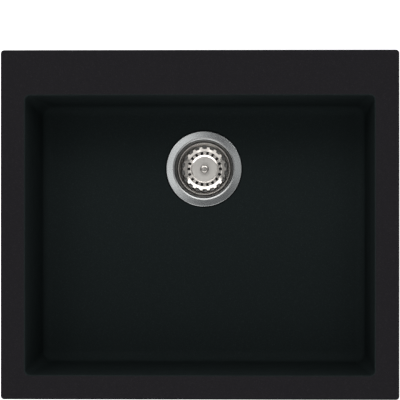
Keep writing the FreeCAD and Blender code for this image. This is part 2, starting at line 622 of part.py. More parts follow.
# Basket and what hangs on its axis
def basket_cup():
    """Perforated basket: hemmed rim, leaning wall, coned edge of the floor and raised middle."""
    edge = BASKET_RIM_RADIUS - BASKET_SHEET / 2
    rim_mid = BASKET_TOP - BASKET_SHEET / 2
    path = [(edge, rim_mid - BASKET_HEM, 0),
            (edge, rim_mid, BASKET_BEND),
            (edge - BASKET_HEM, rim_mid, BASKET_BEND),
            (BASKET_FLOOR_RADIUS, BASKET_FLOOR + BASKET_CONE_RISE, BASKET_FILLET),
            (BASKET_CONE_RADIUS, BASKET_FLOOR, SHEET_BEND),
            (PLATEAU_FOOT_RADIUS, BASKET_FLOOR, SHEET_BEND),
            (PLATEAU_RADIUS, PLATEAU, SHEET_BEND),
            (STUD_HOLE, PLATEAU, 0)]
    basket = turned(bent_sheet(path, BASKET_SHEET))

    below = BASKET_FLOOR - BASKET_SHEET
    pitch_angle = 2 * math.pi / BASKET_SLOTS
    slot_inner = PLATEAU_FOOT_RADIUS + FLOOR_SLOT_INSET
    slot_outer = BASKET_CONE_RADIUS - FLOOR_SLOT_INSET
    slot_width = FLOOR_SLOT_SHARE * pitch_angle * (slot_inner + slot_outer) / 2
    floor_slot = radial_box(slot_inner, slot_outer, slot_width, below, BASKET_FLOOR + BASKET_SHEET)
    window_inner = WINDOW_START_SHARE * BASKET_FLOOR_RADIUS
    window_width = WINDOW_SHARE * pitch_angle * window_inner
    window = radial_box(window_inner, BASKET_RIM_RADIUS + window_width, window_width,
                        below, BASKET_FLOOR + WINDOW_HEIGHT)
    inner_corners = [edge for edge in window.Edges if edge.BoundBox.XMax < window_inner + TOUCH
                     and edge.BoundBox.ZLength > WINDOW_HEIGHT]
    window = window.makeFillet(WINDOW_CORNER, inner_corners)
    vent = radial_box(BASKET_FLOOR_RADIUS - BASKET_SHEET, BASKET_RIM_RADIUS, VENT_WIDTH,
                      BASKET_FLOOR + VENT_SILL, BASKET_FLOOR + VENT_SILL + VENT_HEIGHT)
    rear = 90.0
    half_pitch = 180.0 / BASKET_SLOTS
    cuts = around_drain(window, BASKET_SLOTS, rear)
    cuts += around_drain(floor_slot, BASKET_SLOTS, rear + half_pitch)
    cuts += around_drain(vent, BASKET_SLOTS, rear + half_pitch)
    return basket.cut(cuts)


def basket_knob():
    """Turned knob with a waisted neck and a crowned top, in one piece with its stud."""
    top = PLATEAU_TOP + KNOB_HEIGHT
    crown = KNOB_CROWN_SHARE * KNOB_RADIUS
    return turned([(0, STUD_TIP, 0), (STUD_RADIUS, STUD_TIP, TURNED_EDGE),
                   (STUD_RADIUS, PLATEAU_TOP, 0), (KNOB_FOOT_RADIUS, PLATEAU_TOP, 0),
                   (KNOB_FOOT_RADIUS, PLATEAU_TOP + KNOB_FOOT, TURNED_EDGE),
                   (KNOB_NECK, PLATEAU_TOP + KNOB_FOOT, KNOB_NECK_CURVE),
                   (KNOB_NECK, top - KNOB_CAP, KNOB_NECK_CURVE),
                   (KNOB_RADIUS, top - KNOB_CAP, KNOB_NECK_CURVE),
                   (KNOB_RADIUS, top - KNOB_CROWN_FALL, KNOB_CAP_EDGE),
                   (KNOB_RADIUS / 2, top, crown), (0, top, 0)])


def basket_stopper():
    """Rubber plug with a soft lip that closes the cup's well."""
    bore = NUT_SLEEVE + STUD_GAP
    lip = STOPPER_RADIUS - STOPPER_LIP
    return turned([(bore, PLATE_UNDERSIDE, 0), (STOPPER_PLUG_RADIUS, PLATE_UNDERSIDE, 0),
                   (STOPPER_PLUG_RADIUS, STOPPER_SHOULDER, 0),
                   (STOPPER_RADIUS, STOPPER_SHOULDER, STOPPER_EDGE),
                   (STOPPER_RADIUS, STOPPER_BOTTOM, STOPPER_EDGE), (lip, STOPPER_BOTTOM, STOPPER_EDGE),
                   (lip, NUT_SEAT, 0), (bore, NUT_SEAT, 0)])


def basket_nut():
    """Sleeve nut on the knob's stud: its flange carries the stopper, its cup traps the pin's head."""
    bore = STUD_RADIUS + SCREW_CLEARANCE
    cup = PIN_POCKET + NUT_CUP_WALL
    pin_hole = PIN_RADIUS + PIN_GAP
    flange_underside = NUT_SEAT - NUT_FLANGE
    return turned([(bore, PLATE_UNDERSIDE, 0), (NUT_SLEEVE, PLATE_UNDERSIDE, 0), (NUT_SLEEVE, NUT_SEAT, 0),
                   (NUT_FLANGE_RADIUS, NUT_SEAT, 0), (NUT_FLANGE_RADIUS, flange_underside, 0),
                   (cup, flange_underside, 0), (cup, NUT_BOTTOM, 0),
                   (pin_hole, NUT_BOTTOM, 0), (pin_hole, NUT_POCKET_FLOOR, 0),
                   (PIN_POCKET, NUT_POCKET_FLOOR, 0), (PIN_POCKET, STUD_TIP, 0), (bore, STUD_TIP, 0)])


def stem_pin():
    """Headed pin with a groove for its friction ring."""
    groove = PIN_RADIUS - 2 * RING_SECTION + RING_GAP
    groove_top = RING_Z + RING_SECTION + RING_GAP
    groove_bottom = RING_Z - RING_SECTION - RING_GAP
    return turned([(0, PIN_TIP, 0), (PIN_RADIUS, PIN_TIP, PIN_TIP_EDGE),
                   (PIN_RADIUS, groove_bottom, 0), (groove, groove_bottom, 0),
                   (groove, groove_top, 0), (PIN_RADIUS, groove_top, 0),
                   (PIN_RADIUS, PIN_HEAD_BOTTOM, 0), (PIN_HEAD_RADIUS, PIN_HEAD_BOTTOM, 0),
                   (PIN_HEAD_RADIUS, PIN_HEAD_TOP, TURNED_EDGE), (0, PIN_HEAD_TOP, 0)])


def stem_ring():
    """Rubber ring, a little proud of the pin."""
    middle = PIN_RADIUS - RING_SECTION + 2 * RING_GAP
    return Part.makeTorus(middle, RING_SECTION, DRAIN + Vector(0, 0, RING_Z))


save("basket_cup", basket_cup())
save("basket_knob", basket_knob())
save("stopper_plate", ring(STUD_HOLE, STOPPER_PLUG_RADIUS - PLATE_INSET, PLATE_UNDERSIDE, PLATE_TOP))
save("basket_stopper", basket_stopper())
save("basket_nut", basket_nut())
save("stem_pin", stem_pin())
save("stem_ring", stem_ring())
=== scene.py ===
import bmesh
import bpy
import json
import math
from mathutils import Matrix, Vector


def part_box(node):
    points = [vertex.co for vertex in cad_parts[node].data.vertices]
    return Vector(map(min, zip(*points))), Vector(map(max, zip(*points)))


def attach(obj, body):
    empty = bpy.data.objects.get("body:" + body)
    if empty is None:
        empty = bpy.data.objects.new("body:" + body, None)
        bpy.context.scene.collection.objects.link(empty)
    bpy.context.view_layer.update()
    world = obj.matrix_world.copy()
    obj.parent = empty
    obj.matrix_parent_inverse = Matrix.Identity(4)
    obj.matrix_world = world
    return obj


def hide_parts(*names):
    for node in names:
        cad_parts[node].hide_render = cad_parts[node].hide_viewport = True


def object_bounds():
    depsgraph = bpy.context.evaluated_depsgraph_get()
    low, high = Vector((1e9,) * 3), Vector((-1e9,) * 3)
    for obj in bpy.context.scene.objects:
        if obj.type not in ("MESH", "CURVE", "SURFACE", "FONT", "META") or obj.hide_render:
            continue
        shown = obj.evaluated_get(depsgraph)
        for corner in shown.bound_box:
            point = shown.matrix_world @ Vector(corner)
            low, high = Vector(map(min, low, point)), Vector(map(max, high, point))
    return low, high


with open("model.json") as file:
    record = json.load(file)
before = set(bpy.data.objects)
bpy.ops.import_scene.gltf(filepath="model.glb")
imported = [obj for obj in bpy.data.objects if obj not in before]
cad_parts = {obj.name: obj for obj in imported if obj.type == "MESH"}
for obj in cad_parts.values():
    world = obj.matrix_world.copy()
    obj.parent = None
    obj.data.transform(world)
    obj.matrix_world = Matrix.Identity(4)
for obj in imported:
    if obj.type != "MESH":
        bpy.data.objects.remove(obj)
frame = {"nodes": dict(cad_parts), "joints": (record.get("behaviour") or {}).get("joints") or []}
cad_low, cad_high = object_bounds()
nodes = frame["nodes"]


# Sink bowl
# One casting of crushed quartz in black resin: a flat rim, straight walls and a level floor.
# The mould leaves it matt, with grains of quartz just showing through the resin skin.
# On the faces inside the bowl the colour is painted light: a cooler, slightly lighter copy for the bowl's
# cool cast.
MM = 0.001
MASK_LOW = 0.3
MASK_HIGH = 0.7


def place(tree, kind, sockets=None, **settings):
    """Add a node to a tree, set its properties, and fill or link its inputs; a list fills a joint input."""
    made = tree.nodes.new(kind)
    for name, value in settings.items():
        setattr(made, name, value)
    for key, value in (sockets or {}).items():
        for source in value if isinstance(value, list) else [value]:
            if isinstance(source, bpy.types.NodeSocket):
                tree.links.new(source, made.inputs[key])
            else:
                made.inputs[key].default_value = source
    return made


def spaced(keywords):
    """The same values under the names of the sockets that the keywords stand for."""
    return {name.replace("_", " "): value for name, value in keywords.items()}


def work_out(tree, operation, *values):
    """Result of a sum on sockets and numbers."""
    return place(tree, "ShaderNodeMath", dict(enumerate(values)), operation=operation).outputs[0]


def finish_of(name, **constants):
    """New node material, its tree and its shader, with the shader's plain values set."""
    material = bpy.data.materials.new(name)
    material.use_nodes = True
    shader = next(n for n in material.node_tree.nodes if n.type == "BSDF_PRINCIPLED")
    for socket, value in spaced(constants).items():
        shader.inputs[socket].default_value = value
    return material, material.node_tree, shader


def tones(tree, source, *stops):
    """Colour ramp on a mask: stops are pairs of position and colour."""
    ramp = place(tree, "ShaderNodeValToRGB", {0: source})
    elements = ramp.color_ramp.elements
    while len(elements) < len(stops):
        elements.new(0.5)
    for element, (position, colour) in zip(elements, stops):
        element.position = position
        element.color = (*colour, 1)
    return ramp.outputs[0]


def between(tree, source, low, high):
    """A mask's usual spread turned into a range of values."""
    spread = {0: source, 1: MASK_LOW, 2: MASK_HIGH, 3: low, 4: high}
    return place(tree, "ShaderNodeMapRange", spread).outputs[0]


def relief(tree, source, depth):
    """Bump of a real depth in metres from a mask."""
    return place(tree, "ShaderNodeBump", {"Height": source, "Distance": depth}).outputs[0]


def mixed(tree, factor, first, second):
    """Two colours mixed by a mask."""
    sources = {"Factor": factor, "A": first, "B": second}
    return place(tree, "ShaderNodeMix", sources, data_type="RGBA").outputs["Result"]


def progress(tree, source, start, end):
    """Mask that goes from 0 to 1 while a value goes from start to end."""
    return place(tree, "ShaderNodeMapRange", {0: source, 1: start, 2: end}).outputs[0]


def feed(tree, shader, **sources):
    """Link masks and colours to the shader's sockets."""
    for socket, source in spaced(sources).items():
        tree.links.new(source, shader.inputs[socket])


def paint(material, *names):
    """Give CAD nodes a finish in place of the plain one that they were packed with."""
    for name in names:
        nodes[name].data.materials.clear()
        nodes[name].data.materials.append(material)


def effect(name, inputs, outputs):
    """Empty shader group with float inputs and outputs; returns its tree, inputs and output sockets."""
    tree = bpy.data.node_groups.new(name, "ShaderNodeTree")
    for title, value in inputs.items():
        tree.interface.new_socket(title, in_out="INPUT", socket_type="NodeSocketFloat").default_value = value
    for title in outputs:
        tree.interface.new_socket(title, in_out="OUTPUT", socket_type="NodeSocketFloat")
    return tree, tree.nodes.new("NodeGroupInput").outputs, tree.nodes.new("NodeGroupOutput").inputs


def masks_of(tree, group, **sizes):
    """Outputs of an effect placed in a material, with sizes of its own where they are given."""
    return place(tree, "ShaderNodeGroup", spaced(sizes), node_tree=group).outputs


moulded_grain, given, put_out = effect("moulded_grain", {"Grain Size": 0.8 * MM, "Mottle Size": 20 * MM},
                                       ("Grains", "Mottle", "Skin"))
spot = place(moulded_grain, "ShaderNodeTexCoord").outputs["Object"]
fine = work_out(moulded_grain, "DIVIDE", 1.0, given["Grain Size"])
broad = work_out(moulded_grain, "DIVIDE", 1.0, given["Mottle Size"])
cells = place(moulded_grain, "ShaderNodeTexVoronoi", {"Vector": spot, "Scale": fine})
cell_shade = place(moulded_grain, "ShaderNodeSeparateColor", {0: cells.outputs["Color"]})
mottle = place(moulded_grain, "ShaderNodeTexNoise", {"Vector": spot, "Scale": broad, "Detail": 3.0})
skin = place(moulded_grain, "ShaderNodeTexNoise", {"Vector": spot, "Scale": fine, "Detail": 2.0})
for title, source in (("Grains", cell_shade.outputs[0]), ("Mottle", mottle.outputs["Fac"]),
                      ("Skin", skin.outputs["Fac"])):
    moulded_grain.links.new(source, put_out[title])

composite, tree, shader = finish_of("quartz_composite", Specular_IOR_Level=0.02)
grain = masks_of(tree, moulded_grain)
FACE_RESIN = (0.0200, 0.0194, 0.0218)
FACE_DARK_QUARTZ = (0.0242, 0.0226, 0.0256)
FACE_PALE_QUARTZ = (0.0347, 0.0317, 0.0356)
# Painted light: a cooler, slightly lighter copy of the composite's colours, standing in for the cool cast of
# light inside the bowl.
BOWL_LIGHT_TINT_RESIN = (0.0181, 0.0250, 0.0253)
BOWL_LIGHT_TINT_DARK_QUARTZ = (0.0219, 0.0292, 0.0296)
BOWL_LIGHT_TINT_PALE_QUARTZ = (0.0314, 0.0410, 0.0415)
PALE_FROM = 0.88
rim_face = tones(tree, grain["Grains"],
                 (0.0, FACE_RESIN), (PALE_FROM, FACE_DARK_QUARTZ), (1.0, FACE_PALE_QUARTZ))
painted_bowl_light = tones(tree, grain["Grains"],
                  (0.0, BOWL_LIGHT_TINT_RESIN), (PALE_FROM, BOWL_LIGHT_TINT_DARK_QUARTZ), (1.0, BOWL_LIGHT_TINT_PALE_QUARTZ))
# Painted light mask: it turns to 1 on faces that look into the bowl, towards a point just below the middle of
# the rim.
MOUTH_DEPTH = 1 * MM
MOUTH_BLEND = 100 * MM
mouth = Vector((0, 0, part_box("sink_bowl")[1].z - MOUTH_DEPTH))
surface = place(tree, "ShaderNodeNewGeometry").outputs
to_mouth = place(tree, "ShaderNodeVectorMath", {0: mouth, 1: surface["Position"]}, operation="SUBTRACT")
facing = place(tree, "ShaderNodeVectorMath", {0: to_mouth.outputs[0], 1: surface["Normal"]},
               operation="DOT_PRODUCT")
bowl_light_mask = progress(tree, facing.outputs["Value"], 0, MOUTH_BLEND)
# The base colour mixes the composite's own colour on the rim and outside with the painted bowl light inside.
feed(tree, shader,
     Base_Color=mixed(tree, bowl_light_mask, rim_face, painted_bowl_light),
     Roughness=between(tree, grain["Mottle"], 0.72, 0.82),
     Normal=relief(tree, grain["Skin"], 0.06 * MM))
paint(composite, "sink_bowl")


# Rim seal
# A strip of dark closed-cell foam, pressed into a groove round the underside of the rim.
# It is squeezed between the rim and the worktop, and keeps water out of the cut-out.
foam, tree, shader = finish_of("closed_cell_foam", Specular_IOR_Level=0.2)
grain = masks_of(tree, moulded_grain, Grain_Size=0.6 * MM, Mottle_Size=12 * MM)
FOAM_DARK = (0.035, 0.035, 0.035)
FOAM_PALE = (0.085, 0.085, 0.083)
feed(tree, shader,
     Base_Color=tones(tree, grain["Grains"], (0.0, FOAM_DARK), (1.0, FOAM_PALE)),
     Roughness=between(tree, grain["Mottle"], 0.85, 0.95),
     Normal=relief(tree, grain["Grains"], 0.1 * MM))
paint(foam, "rim_seal")


# Clip inserts and body insert
# Turned brass bushes with an inner thread: eight are pressed into the bosses under the rim,
# and a longer one sits in the boss of the waste body.
brushed_patina, given, put_out = effect("brushed_patina", {"Patch Size": 4 * MM, "Scratch Width": 0.2 * MM},
                                        ("Patches", "Scratches"))
spot = place(brushed_patina, "ShaderNodeTexCoord").outputs["Object"]
broad = work_out(brushed_patina, "DIVIDE", 1.0, given["Patch Size"])
fine = work_out(brushed_patina, "DIVIDE", 1.0, given["Scratch Width"])
SCRATCH_STRETCH = (1.0, 0.04, 1.0)
drawn_out = place(brushed_patina, "ShaderNodeMapping", {"Vector": spot, "Scale": SCRATCH_STRETCH}).outputs[0]
patches = place(brushed_patina, "ShaderNodeTexNoise", {"Vector": spot, "Scale": broad, "Detail": 4.0})
scratches = place(brushed_patina, "ShaderNodeTexNoise", {"Vector": drawn_out, "Scale": fine, "Detail": 1.0})
brushed_patina.links.new(patches.outputs["Fac"], put_out["Patches"])
brushed_patina.links.new(scratches.outputs["Fac"], put_out["Scratches"])


def two_tones(tree, source, low, high):
    """One colour that turns into another over a mask's usual spread."""
    return tones(tree, source, (MASK_LOW, low), (MASK_HIGH, high))


brass, tree, shader = finish_of("turned_brass", Metallic=1.0)
patina = masks_of(tree, brushed_patina)
BRASS_DULL = (0.60, 0.40, 0.16)
BRASS_BRIGHT = (0.76, 0.56, 0.26)
feed(tree, shader,
     Base_Color=two_tones(tree, patina["Patches"], BRASS_DULL, BRASS_BRIGHT),
     Roughness=between(tree, patina["Scratches"], 0.25, 0.42),
     Normal=relief(tree, patina["Scratches"], 0.01 * MM))
paint(brass, "clip_inserts", "body_insert")


# Clip screws
# Long pan-head screws of bright zinc-plated steel, with a rolled thread and a cross recess.
# Each turns in its brass insert under the rim, and its head carries a claw.
zinc, tree, shader = finish_of("zinc_plate", Metallic=1.0)
patina = masks_of(tree, brushed_patina, Patch_Size=6 * MM)
grain = masks_of(tree, moulded_grain, Grain_Size=1.5 * MM)
ZINC_BLUISH = (0.56, 0.58, 0.62)
ZINC_GREY = (0.68, 0.68, 0.67)
feed(tree, shader,
     Base_Color=two_tones(tree, patina["Patches"], ZINC_BLUISH, ZINC_GREY),
     Roughness=between(tree, grain["Grains"], 0.28, 0.4),
     Normal=relief(tree, patina["Scratches"], 0.01 * MM))

MICRON = 0.001 * MM
ARC_STEP = math.radians(12)
CREASE_ANGLE = math.radians(35)


def count_out(tree, operation, *values):
    """Result of a sum on sockets and whole numbers."""
    return place(tree, "FunctionNodeIntegerMath", dict(enumerate(values)), operation=operation).outputs[0]


def maker(name, inputs):
    """Empty Geometry Nodes tree: its inputs are given as numbers or kinds, and its output is one piece."""
    tree = bpy.data.node_groups.new(name, "GeometryNodeTree")
    for title, value in inputs.items():
        kind = value if isinstance(value, str) else type(value).__name__.capitalize()
        socket = tree.interface.new_socket(title, in_out="INPUT", socket_type="NodeSocket" + kind)
        if not isinstance(value, str):
            socket.default_value = value
    tree.interface.new_socket("Piece", in_out="OUTPUT", socket_type="NodeSocketGeometry")
    return tree, tree.nodes.new("NodeGroupInput").outputs


def deliver(tree, piece, finish=None):
    """End a tree: instances become real faces, and a finish is set where one is given."""
    piece = place(tree, "GeometryNodeRealizeInstances", {0: piece}).outputs[0]
    if finish:
        piece = place(tree, "GeometryNodeSetMaterial", {"Geometry": piece, "Material": finish}).outputs[0]
    tree.links.new(piece, tree.nodes.new("NodeGroupOutput").inputs[0])


def inside(tree, group, **sizes):
    """A smaller tree placed inside another, with its sizes set or linked; returns what it makes."""
    return place(tree, "GeometryNodeGroup", spaced(sizes), node_tree=group).outputs[0]


def welded(tree, mesh):
    """A mesh with its points joined where they lie in one place."""
    return place(tree, "GeometryNodeMergeByDistance", {"Geometry": mesh, "Distance": MICRON}).outputs[0]


def boolean(tree, operation, first, *others):
    """Solids joined to one another, or the others cut from the first."""
    sockets = {"Mesh 1": first, "Mesh 2": list(others)}
    if operation == "UNION":
        sockets = {"Mesh 2": [first, *others]}
    result = place(tree, "GeometryNodeMeshBoolean", sockets, operation=operation, solver="MANIFOLD")
    return result.outputs["Mesh"]


def rounded_path(corners):
    """Points along a path of corners (r, z, radius), with an arc where a corner has a radius."""
    points = []
    for i, (r, z, radius) in enumerate(corners):
        here = Vector((r, z))
        if radius == 0:
            points.append(here)
            continue
        back = (Vector(corners[i - 1][:2]) - here).normalized()
        ahead = (Vector(corners[i + 1][:2]) - here).normalized()
        turn = math.pi - back.angle(ahead)
        start = here + back * radius * math.tan(turn / 2)
        centre = here + (back + ahead).normalized() * radius / math.cos(turn / 2)
        way = math.copysign(turn, ahead.cross(back))
        steps = max(2, math.ceil(turn / ARC_STEP))
        points += [centre + Matrix.Rotation(way * k / steps, 2) @ (start - centre) for k in range(steps + 1)]
    return points


def refined(points, longest):
    """The same path with its long runs divided."""
    path = [points[0]]
    for here, ahead in zip(points, points[1:]):
        parts = max(1, math.ceil((ahead - here).length / longest))
        path += [here.lerp(ahead, k / parts) for k in range(1, parts + 1)]
    return path


def thread_shares(path, radius, top, bottom, fade):
    """Share of the full thread at each point of a path: whole along a shank, fading out at its ends."""
    shares = []
    for point in path:
        on_shank = abs(point.x - radius) < MICRON
        from_end = min(top - point.y, point.y - bottom)
        shares.append(min(1.0, max(0.0, from_end / fade)) if on_shank else 0.0)
    return shares


def outline_mesh(name, path, threaded=(), seats=()):
    """Outline (r, z) as a line of points, its share of thread on each, and seats (x, y) as loose points."""
    mesh = bpy.data.meshes.new(name)
    points = [(point.x, 0, point.y) for point in path] + [(x, y, 0) for x, y in seats]
    mesh.from_pydata(points, [(i, i + 1) for i in range(len(path) - 1)], [])
    shares = list(threaded) or [0.0] * len(path)
    for title, values in (("threaded", shares + [0.0] * len(seats)),
                          ("seat", [0.0] * len(path) + [1.0] * len(seats))):
        mesh.attributes.new(title, "FLOAT", "POINT").data.foreach_set("value", values)
    return mesh


def grow(name, outline, tree, inputs, axis=(0, 0, 0)):
    """Run a tree on an outline, and keep what it makes as a plain mesh with smooth faces and crisp edges."""
    piece = bpy.data.objects.new(name, outline)
    bpy.context.scene.collection.objects.link(piece)
    modifier = piece.modifiers.new(name, "NODES")
    modifier.node_group = tree
    sockets = {item.name: item.identifier for item in tree.interface.items_tree if item.in_out == "INPUT"}
    for title, value in inputs.items():
        modifier[sockets[title]] = value
    made = bpy.data.meshes.new_from_object(piece.evaluated_get(bpy.context.evaluated_depsgraph_get()))
    piece.modifiers.remove(modifier)
    skin = bmesh.new()
    skin.from_mesh(made)
    bmesh.ops.remove_doubles(skin, verts=skin.verts, dist=0.1 * MICRON)
    bmesh.ops.recalc_face_normals(skin, faces=skin.faces)
    bmesh.ops.translate(skin, verts=skin.verts, vec=axis)
    for face in skin.faces:
        face.material_index = 0
    skin.to_mesh(made)
    skin.free()
    made.materials.clear()
    made.materials.append(inputs["Finish"])
    made.shade_smooth()
    made.set_sharp_from_angle(angle=CREASE_ANGLE)
    piece.data = made
    return piece


lathe, given = maker("lathe", {"Outline": "Geometry", "Steps Around": 96,
                               "Thread Pitch": 1 * MM, "Thread Depth": 0.0})
rows = place(lathe, "GeometryNodeAttributeDomainSize", {0: given["Outline"]}).outputs["Point Count"]
columns = count_out(lathe, "ADD", given["Steps Around"], 1)
index = place(lathe, "GeometryNodeInputIndex").outputs[0]
row = count_out(lathe, "DIVIDE_FLOOR", index, columns)
column = count_out(lathe, "MODULO", index, columns)
turn = work_out(lathe, "DIVIDE", column, given["Steps Around"])
angle = work_out(lathe, "MULTIPLY", turn, math.tau)
here = place(lathe, "GeometryNodeInputPosition").outputs[0]
mark = place(lathe, "GeometryNodeInputNamedAttribute", {"Name": "threaded"}).outputs[0]
at_row = {"Geometry": given["Outline"], "Index": row}
point = place(lathe, "GeometryNodeSampleIndex", {**at_row, "Value": here}, data_type="FLOAT_VECTOR")
threaded = place(lathe, "GeometryNodeSampleIndex", {**at_row, "Value": mark}).outputs[0]
along = place(lathe, "ShaderNodeSeparateXYZ", {0: point.outputs[0]}).outputs
helix = work_out(lathe, "SUBTRACT", work_out(lathe, "DIVIDE", along["Z"], given["Thread Pitch"]), turn)
FLANK_FROM = 0.1
FLANK_TO = 0.4
from_crest = work_out(lathe, "PINGPONG", helix, 0.5)
flank = place(lathe, "ShaderNodeMapRange", {0: from_crest, 1: FLANK_FROM, 2: FLANK_TO,
                                            3: 0.0, 4: given["Thread Depth"]}).outputs[0]
radius = work_out(lathe, "SUBTRACT", along["X"], work_out(lathe, "MULTIPLY", flank, threaded))
x = work_out(lathe, "MULTIPLY", radius, work_out(lathe, "COSINE", angle))
y = work_out(lathe, "MULTIPLY", radius, work_out(lathe, "SINE", angle))
turned = place(lathe, "ShaderNodeCombineXYZ", {0: x, 1: y, 2: along["Z"]}).outputs[0]
sheet = place(lathe, "GeometryNodeMeshGrid", {"Vertices X": rows, "Vertices Y": columns}).outputs["Mesh"]
sheet = place(lathe, "GeometryNodeSetPosition", {"Geometry": sheet, "Position": turned}).outputs[0]
deliver(lathe, welded(lathe, sheet))

ring_of, given = maker("ring_of", {"Outline": "Geometry", "Count": 8, "First Turn": 0.0})
seats = place(ring_of, "GeometryNodePoints", {"Count": given["Count"]}).outputs[0]
share = work_out(ring_of, "DIVIDE", place(ring_of, "GeometryNodeInputIndex").outputs[0], given["Count"])
angle = work_out(ring_of, "MULTIPLY", work_out(ring_of, "ADD", share, given["First Turn"]), math.tau)
euler = place(ring_of, "ShaderNodeCombineXYZ", {2: angle}).outputs[0]
heading = place(ring_of, "FunctionNodeEulerToRotation", {0: euler}).outputs[0]
deliver(ring_of, place(ring_of, "GeometryNodeInstanceOnPoints",
                       {"Points": seats, "Instance": given["Outline"], "Rotation": heading}).outputs[0])

prism, given = maker("prism", {"Outline": "Geometry", "Rise": 1 * MM})
face = place(prism, "GeometryNodeFillCurve", {"Curve": given["Outline"]}, mode="NGONS").outputs[0]
lift = place(prism, "ShaderNodeCombineXYZ", {2: given["Rise"]}).outputs[0]
walls = place(prism, "GeometryNodeExtrudeMesh",
              {"Mesh": face, "Offset": lift, "Offset Scale": 1.0, "Individual": False}).outputs["Mesh"]
base = place(prism, "GeometryNodeFlipFaces", {"Mesh": face}).outputs[0]
closed = place(prism, "GeometryNodeJoinGeometry", {0: [walls, base]}).outputs[0]
deliver(prism, welded(prism, closed))

CORNER_STEPS = 4
bars, given = maker("bars", {"From": 0.0, "To": 10 * MM, "Width": 4 * MM, "Corner": 0.0,
                             "Bottom": 0.0, "Top": 10 * MM, "Count": 1, "First Turn": 0.0})
length = work_out(bars, "SUBTRACT", given["To"], given["From"])
rise = work_out(bars, "SUBTRACT", given["Top"], given["Bottom"])
plan = place(bars, "GeometryNodeCurvePrimitiveQuadrilateral",
             {"Width": length, "Height": given["Width"]}).outputs[0]
plan = place(bars, "GeometryNodeFilletCurve",
             {"Curve": plan, "Radius": given["Corner"], "Count": CORNER_STEPS}, mode="POLY").outputs[0]
bar = inside(bars, prism, Outline=plan, Rise=rise)
middle = work_out(bars, "MULTIPLY", work_out(bars, "ADD", given["To"], given["From"]), 0.5)
spot = place(bars, "ShaderNodeCombineXYZ", {0: middle, 2: given["Bottom"]}).outputs[0]
bar = place(bars, "GeometryNodeTransform", {"Geometry": bar, "Translation": spot}).outputs[0]
deliver(bars, inside(bars, ring_of, Outline=bar, Count=given["Count"], First_Turn=given["First Turn"]))

SCREW_SHANK = 2.5 * MM
SCREW_HEAD = 4.8 * MM
SCREW_HEAD_HEIGHT = 3.6 * MM
SCREW_HEAD_EDGE = 1.8 * MM
SCREW_POINT = 0.9 * MM
SCREW_PLAIN_NECK = 2 * MM
SCREW_FADE = 1 * MM
SCREW_POINTS_PER_PITCH = 5
RECESS_DEPTH = 1.8 * MM
CUT_MARGIN = 1 * MM
CROSS_TURNS = (0.0, 0.25)
screws_low, screws_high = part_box("clip_screws")
screw_sizes = {"Steps Around": 20, "Thread Pitch": 0.8 * MM, "Thread Depth": 0.42 * MM,
               "Recess Width": 1.2 * MM, "Recess Reach": 2.8 * MM,
               "Recess From": screws_low.z - CUT_MARGIN, "Recess To": screws_low.z + RECESS_DEPTH}
clip_screw, given = maker("clip_screw", {"Outline": "Geometry", **screw_sizes, "Finish": "Material"})
seat = place(clip_screw, "GeometryNodeInputNamedAttribute", {"Name": "seat"}).outputs[0]
sorted_out = place(clip_screw, "GeometryNodeSeparateGeometry",
                   {"Geometry": given["Outline"], "Selection": seat}).outputs
screw = inside(clip_screw, lathe, Outline=sorted_out["Inverted"], Steps_Around=given["Steps Around"],
               Thread_Pitch=given["Thread Pitch"], Thread_Depth=given["Thread Depth"])
recess = [inside(clip_screw, bars, From=work_out(clip_screw, "MULTIPLY", given["Recess Reach"], -1.0),
                 To=given["Recess Reach"], Width=given["Recess Width"], Bottom=given["Recess From"],
                 Top=given["Recess To"], First_Turn=turn) for turn in CROSS_TURNS]
screw = boolean(clip_screw, "DIFFERENCE", screw, *recess)
deliver(clip_screw, place(clip_screw, "GeometryNodeInstanceOnPoints",
                          {"Points": sorted_out["Selection"], "Instance": screw}).outputs[0], given["Finish"])
head_seat = screws_low.z + SCREW_HEAD_HEIGHT
point_start = screws_high.z - SCREW_POINT
path = rounded_path([(0, screws_high.z, 0), (SCREW_SHANK - SCREW_POINT, screws_high.z, 0),
                     (SCREW_SHANK, point_start, 0), (SCREW_SHANK, head_seat, 0), (SCREW_HEAD, head_seat, 0),
                     (SCREW_HEAD, screws_low.z, SCREW_HEAD_EDGE), (0, screws_low.z, 0)])
path = refined(path, screw_sizes["Thread Pitch"] / SCREW_POINTS_PER_PITCH)
thread = thread_shares(path, SCREW_SHANK, point_start, head_seat + SCREW_PLAIN_NECK, SCREW_FADE)
clip_axes = [joint["pos_m"][:2] for joint in frame["joints"] if joint["name"].startswith("claw_swing")]
clip_screws = grow("clip_screws_threaded", outline_mesh("screw_outline", path, thread, clip_axes), clip_screw,
                   {**screw_sizes, "Finish": zinc})
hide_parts("clip_screws")
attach(clip_screws, "sink")


# Claws
# Bent from steel strip with two teeth at the tip, and zinc plated like the screws that carry them.
# A claw swings out under the worktop when its screw is turned, and pulls the rim down on to the seal.
paint(zinc, *(name for name in nodes if name.startswith("claw_")))


# Strainer cup
# Drawn from one disc of stainless sheet, then brushed in a lathe, so that its flange is ringed.
# It drops through the drain hole, and the fixing screw clamps it to the floor.
cup_low, cup_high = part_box("strainer_cup")
drain_axis = Vector(((cup_low.x + cup_high.x) / 2, (cup_low.y + cup_high.y) / 2, 0))
turned_lines, given, put_out = effect("turned_lines", {"Line Width": 0.3 * MM, "Smear Size": 20 * MM},
                                      ("Lines", "Smears", "Radius"))
spot = place(turned_lines, "ShaderNodeTexCoord").outputs["Object"]
centred = place(turned_lines, "ShaderNodeMapping", {"Vector": spot, "Location": -drain_axis}).outputs[0]
along = place(turned_lines, "ShaderNodeSeparateXYZ", {0: centred}).outputs
flat_spot = place(turned_lines, "ShaderNodeCombineXYZ", {0: along["X"], 1: along["Y"]}).outputs[0]
radius = place(turned_lines, "ShaderNodeVectorMath", {0: flat_spot}, operation="LENGTH").outputs["Value"]
heading = place(turned_lines, "ShaderNodeVectorMath", {0: flat_spot}, operation="NORMALIZE").outputs[0]
